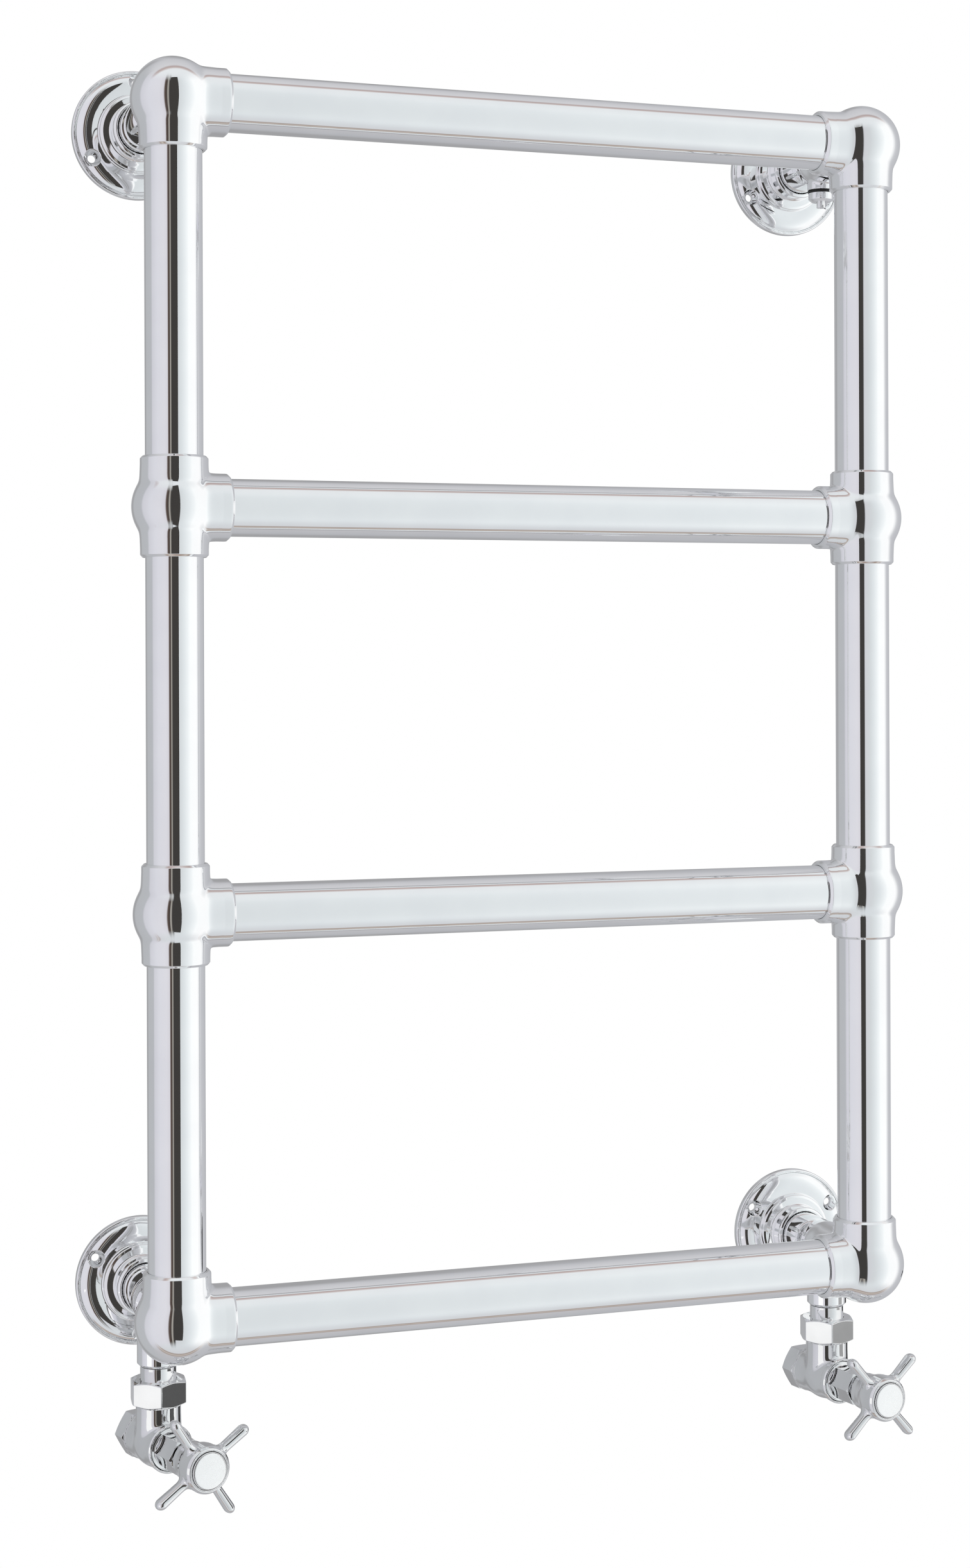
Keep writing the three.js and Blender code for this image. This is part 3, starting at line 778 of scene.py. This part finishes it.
for side in SIDES:
    x, y = AXIS_X[side], AXIS_Y + VALVE_BEHIND
    turn = math.radians(VALVE_TURN[side])
    out = np.array([math.sin(turn), -math.cos(turn), 0])
    upright = Place((x, y, 0), UP, TO_WALL)
    barrel = Place((x, y, -VALVE_DROP), out, UP)
    casting = Place((x, y, -VALVE_DROP), UP, -out)

    turned_piece(f"{side}_tail", upright, [
        (8.2, -22.3, 0.2), (10.4, -22.3, 0.4), (10.4, -43.7), (12.15, -43.7, 0.3),
        (12.15, -58.6), (13.8, -58.6, 0.3), (13.8, -62.2, 0.3), (8.2, -62.2, 0.2),
    ], VALVE_CHROME, AROUND_SMALL, closed=True)
    turned_piece(f"{side}_union_nut", upright, nut_profile(14.4, UNION_FLATS, -68.9, -52.5, [
        (12.5, -52.5, 0.25), (12.5, -58.2), (14.4, -58.2)]),
        VALVE_CHROME, hexagon=Hexagon(UNION_FLATS, NUT_TURN[side]), closed=True)
    valve_body(f"{side}_valve_body", casting)
    turned_piece(f"{side}_compression_nut", barrel, nut_profile(
        7.9, COMPRESSION_FLATS, -34.8, -22.3,
        [(12.7, -22.3, 0.25), (12.7, -31.9), (7.9, -31.9)],
    ), VALVE_CHROME, hexagon=Hexagon(COMPRESSION_FLATS), closed=True)
    turned_piece(f"{side}_bonnet", barrel, [
        (8.7, 8.4), (12, 8.4, 0.3), (12, 17.1), (14.3, 17.1, 0.3), (14.3, 19.3, 0.4),
        (13.2, 19.3), *chamfered(BONNET_FLATS, 19.35, 42), (10.7, 42, 0.15), (7.6, 42, 0.2),
        (7.6, 38), (5.5, 38), (5.5, 27), (8.7, 27),
    ], VALVE_CHROME, hexagon=Hexagon(BONNET_FLATS, 0, 19.32, 42.1), closed=True)
    turned_piece(f"{side}_gland_nut", barrel, [
        (5.5, 37.8), (7.2, 37.8), (7.2, 42.35), *chamfered(GLAND_FLATS, 42.35, 46.6),
        (5.5, 46.6, 0.2),
    ], VALVE_CHROME, hexagon=Hexagon(GLAND_FLATS, 0, 42.3, 46.7), closed=True)
    crosshead(f"{side}_crosshead", barrel, HANDLE_TURN[side])
    turned_piece(f"{side}_handle_cap", barrel, [
        (0, 73.8), (12.3, 73.8), (12.3, 76.9, 0.7), (11.2, 77.5, 2), (0, 77.8),
    ], CAP_CHROME)

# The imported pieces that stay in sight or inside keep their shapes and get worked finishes.
FINISH_OF = {"brass": TURNED_BRASS, "steel": TURNED_STEEL, "rubber": SEAL_RUBBER}
for name, piece in frame["nodes"].items():
    if not piece.hide_render:
        piece.data.materials.clear()
        piece.data.materials.append(FINISH_OF[SLOT_OF[name]])


# ---- floor, light and camera ----
def maths(tree, operation, *values):
    """A Math node on sockets or numbers."""
    made = tree.nodes.new("ShaderNodeMath")
    made.operation = operation
    for socket, value in zip(made.inputs, values):
        if isinstance(value, (int, float)):
            socket.default_value = value
        else:
            tree.links.new(value, socket)
    return made.outputs[0]


def emitter(name, colour, widest=None):
    """A plain glowing material for the stage. With a widest angle, in degrees, it is clear
    wherever it is looked at further than that from square on, like a lamp behind a grid."""
    made = bpy.data.materials.new(name)
    made.use_nodes = True
    tree = made.node_tree
    tree.nodes.clear()
    light = tree.nodes.new("ShaderNodeEmission")
    light.inputs["Color"].default_value = (*colour, 1)
    end = tree.nodes.new("ShaderNodeOutputMaterial")
    shown = light.outputs["Emission"]
    if widest is not None:
        look = tree.nodes.new("ShaderNodeNewGeometry")
        square = tree.nodes.new("ShaderNodeVectorMath")
        square.operation = "DOT_PRODUCT"
        tree.links.new(look.outputs["Incoming"], square.inputs[0])
        tree.links.new(look.outputs["Normal"], square.inputs[1])
        within = maths(tree, "GREATER_THAN", square.outputs["Value"],
                       math.cos(math.radians(widest)))
        clear = tree.nodes.new("ShaderNodeBsdfTransparent")
        pick = tree.nodes.new("ShaderNodeMixShader")
        tree.links.new(within, pick.inputs["Fac"])
        tree.links.new(clear.outputs["BSDF"], pick.inputs[1])
        tree.links.new(shown, pick.inputs[2])
        shown = pick.outputs["Shader"]
    tree.links.new(shown, end.inputs["Surface"])
    return made


def stage_sheet(name, corners, material, seen=False, mirrored=False):
    """A flat sheet of the stage from four corners, in metres: seen by the camera, or only
    mirrored in the object."""
    mesh = bpy.data.meshes.new(name)
    mesh.from_pydata(corners, [], [(0, 1, 2, 3)])
    sheet = bpy.data.objects.new(name, mesh)
    bpy.context.scene.collection.objects.link(sheet)
    mesh.materials.append(material)
    sheet.visible_camera, sheet.visible_glossy = seen, mirrored
    sheet.visible_diffuse = sheet.visible_shadow = False
    return sheet


def linear(level):
    """Linear light of a display level from 0 to 255."""
    v = np.asarray(level, float) / 255
    return np.where(v <= 0.04045, v / 12.92, ((v + 0.055) / 1.055) ** 2.4)


CHROME_LOSS = 0.93           # what chrome gives back of the light that falls on it


def glow(levels):
    """The stage's light for the display levels that chrome should show."""
    return tuple(float(v) for v in linear(levels) / CHROME_LOSS)


FLOOR_AT, FLOOR_HALF = -0.42, 6
stage_sheet("pale_floor", [
    (-FLOOR_HALF, -FLOOR_HALF, FLOOR_AT), (FLOOR_HALF, -FLOOR_HALF, FLOOR_AT),
    (FLOOR_HALF, FLOOR_HALF, FLOOR_AT), (-FLOOR_HALF, FLOOR_HALF, FLOOR_AT),
], emitter("pale_floor", (1, 1, 1)), seen=True)

GAP_X, GAP_Y, GAP_Z = (-0.66, -0.17), -1.334, (-0.9, 2.2)
GAP_LEVELS = (62, 60, 58)
stage_sheet("gap_between_panels", [
    (GAP_X[0], GAP_Y, GAP_Z[0]), (GAP_X[1], GAP_Y, GAP_Z[0]), (GAP_X[1], GAP_Y, GAP_Z[1]),
    (GAP_X[0], GAP_Y, GAP_Z[1]),
], emitter("dark_gap", glow(GAP_LEVELS)), mirrored=True)

# Three small sheets round each valve and square on to it: a bright one ahead to its left, a
# darker one ahead to its right, and a dark one behind to its right.
FLAG_LOW, FLAG_HIGH = -0.19, -0.08
FLAG_BEARING, FLAG_AWAY, FLAG_HALF = math.radians(60), 0.25, 0.06
FLAG_WIDEST = 21             # degrees from square on at which a small sheet still shows
for side, shade in (("left", 88), ("right", 165)):
    for name, bearing, level in (("bright", -FLAG_BEARING, 255), ("grey", FLAG_BEARING, shade),
                                 ("dark", 2 * FLAG_BEARING, 50)):
        ahead = np.array([math.sin(bearing), -math.cos(bearing)])
        across = np.array([ahead[1], -ahead[0]]) * FLAG_HALF
        centre = np.array([AXIS_X[side], AXIS_Y + VALVE_BEHIND]) * MM + ahead * FLAG_AWAY
        stage_sheet(f"{name}_flag_{side}", [
            (*(centre - across), FLAG_LOW), (*(centre + across), FLAG_LOW),
            (*(centre + across), FLAG_HIGH), (*(centre - across), FLAG_HIGH),
        ], emitter(f"{name}_flag_{side}", glow((level,) * 3), FLAG_WIDEST), mirrored=True)

# Light round the object, as (degrees from straight ahead towards +X, display levels).
ROUND_LIGHT = [
    (-180, (180, 181, 184)), (-168, (158, 158, 160)), (-160, (160, 161, 163)),
    (-150, (178, 180, 183)), (-112, (180, 182, 186)), (-106, (203, 203, 210)),
    (-80, (214, 214, 221)), (-50, (217, 216, 222)), (-37, (212, 210, 216)),
    (-34, (92, 78, 70)), (-28, (66, 60, 58)), (-26, (165, 160, 152)), (-23.5, (160, 156, 150)),
    (-22, (62, 60, 58)), (-18, (62, 60, 58)), (-16, (205, 206, 210)), (3, (208, 212, 214)),
    (15, (216, 221, 223)), (25, (224, 229, 231)), (42, (240, 244, 245)),
    (50, (250, 252, 252)), (80, (252, 252, 252)), (88, (236, 237, 238)), (97, (205, 206, 209)),
    (106, (192, 193, 197)), (125, (186, 187, 191)), (150, (178, 179, 183)),
    (160, (160, 160, 162)), (168, (158, 158, 160)), (180, (180, 181, 184)),
]
# Light over and under it, as (degrees up from straight ahead, display levels), and how
# steeply up or down, as the height of a direction of length 1, it takes over from the other.
STEEP_FROM, STEEP_FULL = 0.6, 0.9
OVER_LIGHT = [
    (-180, (176, 178, 181)), (-120, (180, 181, 185)),
    (-92, (188, 187, 190)), (-88, (160, 145, 136)), (-85, (196, 190, 184)),
    (-81, (150, 132, 122)), (-78, (206, 208, 211)), (-50, (214, 219, 222)),
    (0, (218, 223, 226)), (50, (225, 229, 231)), (76, (226, 229, 231)),
    (82, (190, 176, 173)), (86, (176, 160, 158)), (92, (206, 206, 209)), (125, (192, 192, 196)),
    (160, (172, 172, 176)), (180, (166, 167, 170)),
]


def light_ramp(tree, angle, stops):
    """Colours over an angle from -180 to 180 degrees."""
    ramp = tree.nodes.new("ShaderNodeValToRGB")
    elements = ramp.color_ramp.elements
    while len(elements) < len(stops):
        elements.new(0.5)
    for element, (degrees, _) in zip(elements, stops):
        element.position = (degrees + 180) / 360
    for element, (_, levels) in zip(elements, stops):
        element.color = (*glow(levels), 1)
    spread = tree.nodes.new("ShaderNodeMapRange")
    spread.inputs["From Min"].default_value = -math.pi
    spread.inputs["From Max"].default_value = math.pi
    tree.links.new(angle, spread.inputs["Value"])
    tree.links.new(spread.outputs["Result"], ramp.inputs["Fac"])
    return ramp.outputs["Color"]


def studio():
    """Soft light from all round for the chrome, and plain white behind the object."""
    world = bpy.data.worlds.new("studio")
    bpy.context.scene.world = world
    world.use_nodes = True
    tree = world.node_tree
    tree.nodes.clear()
    place = tree.nodes.new("ShaderNodeTexCoord")
    split = tree.nodes.new("ShaderNodeSeparateXYZ")
    tree.links.new(place.outputs["Generated"], split.inputs["Vector"])
    x, y, z = (split.outputs[i] for i in range(3))
    ahead = maths(tree, "MULTIPLY", y, -1.0)
    round_colour = light_ramp(tree, maths(tree, "ARCTAN2", x, ahead), ROUND_LIGHT)
    over_colour = light_ramp(tree, maths(tree, "ARCTAN2", z, ahead), OVER_LIGHT)
    steep = tree.nodes.new("ShaderNodeMapRange")
    steep.interpolation_type = "SMOOTHSTEP"
    steep.inputs["From Min"].default_value = STEEP_FROM
    steep.inputs["From Max"].default_value = STEEP_FULL
    tree.links.new(maths(tree, "ABSOLUTE", z), steep.inputs["Value"])
    mix = tree.nodes.new("ShaderNodeMix")
    mix.data_type = "RGBA"
    tree.links.new(steep.outputs["Result"], mix.inputs["Factor"])
    tree.links.new(round_colour, mix.inputs["A"])
    tree.links.new(over_colour, mix.inputs["B"])
    rays = tree.nodes.new("ShaderNodeLightPath")
    soft, white = (tree.nodes.new("ShaderNodeBackground") for _ in range(2))
    tree.links.new(mix.outputs["Result"], soft.inputs["Color"])
    white.inputs["Color"].default_value = (1, 1, 1, 1)
    choose = tree.nodes.new("ShaderNodeMixShader")
    tree.links.new(rays.outputs["Is Camera Ray"], choose.inputs["Fac"])
    tree.links.new(soft.outputs["Background"], choose.inputs[1])
    tree.links.new(white.outputs["Background"], choose.inputs[2])
    end = tree.nodes.new("ShaderNodeOutputWorld")
    tree.links.new(choose.outputs["Shader"], end.inputs["Surface"])


studio()
bpy.context.scene.view_settings.view_transform = "Standard"

CAMERA_AT = (-0.6125, -1.8143, 0.4286)
CAMERA_YAW, CAMERA_ROLL = 0.3293, -0.0035
lens = bpy.data.cameras.new("viewpoint")
lens.sensor_width, lens.sensor_fit = 36, "AUTO"
lens.lens = 60.14
lens.shift_y = -0.0754
camera = bpy.data.objects.new("viewpoint", lens)
bpy.context.scene.collection.objects.link(camera)
camera.location = CAMERA_AT
turn = Euler((math.pi / 2, 0, -CAMERA_YAW)).to_matrix() @ Matrix.Rotation(CAMERA_ROLL, 3, "Z")
camera.rotation_euler = turn.to_euler()
bpy.context.scene.camera = camera
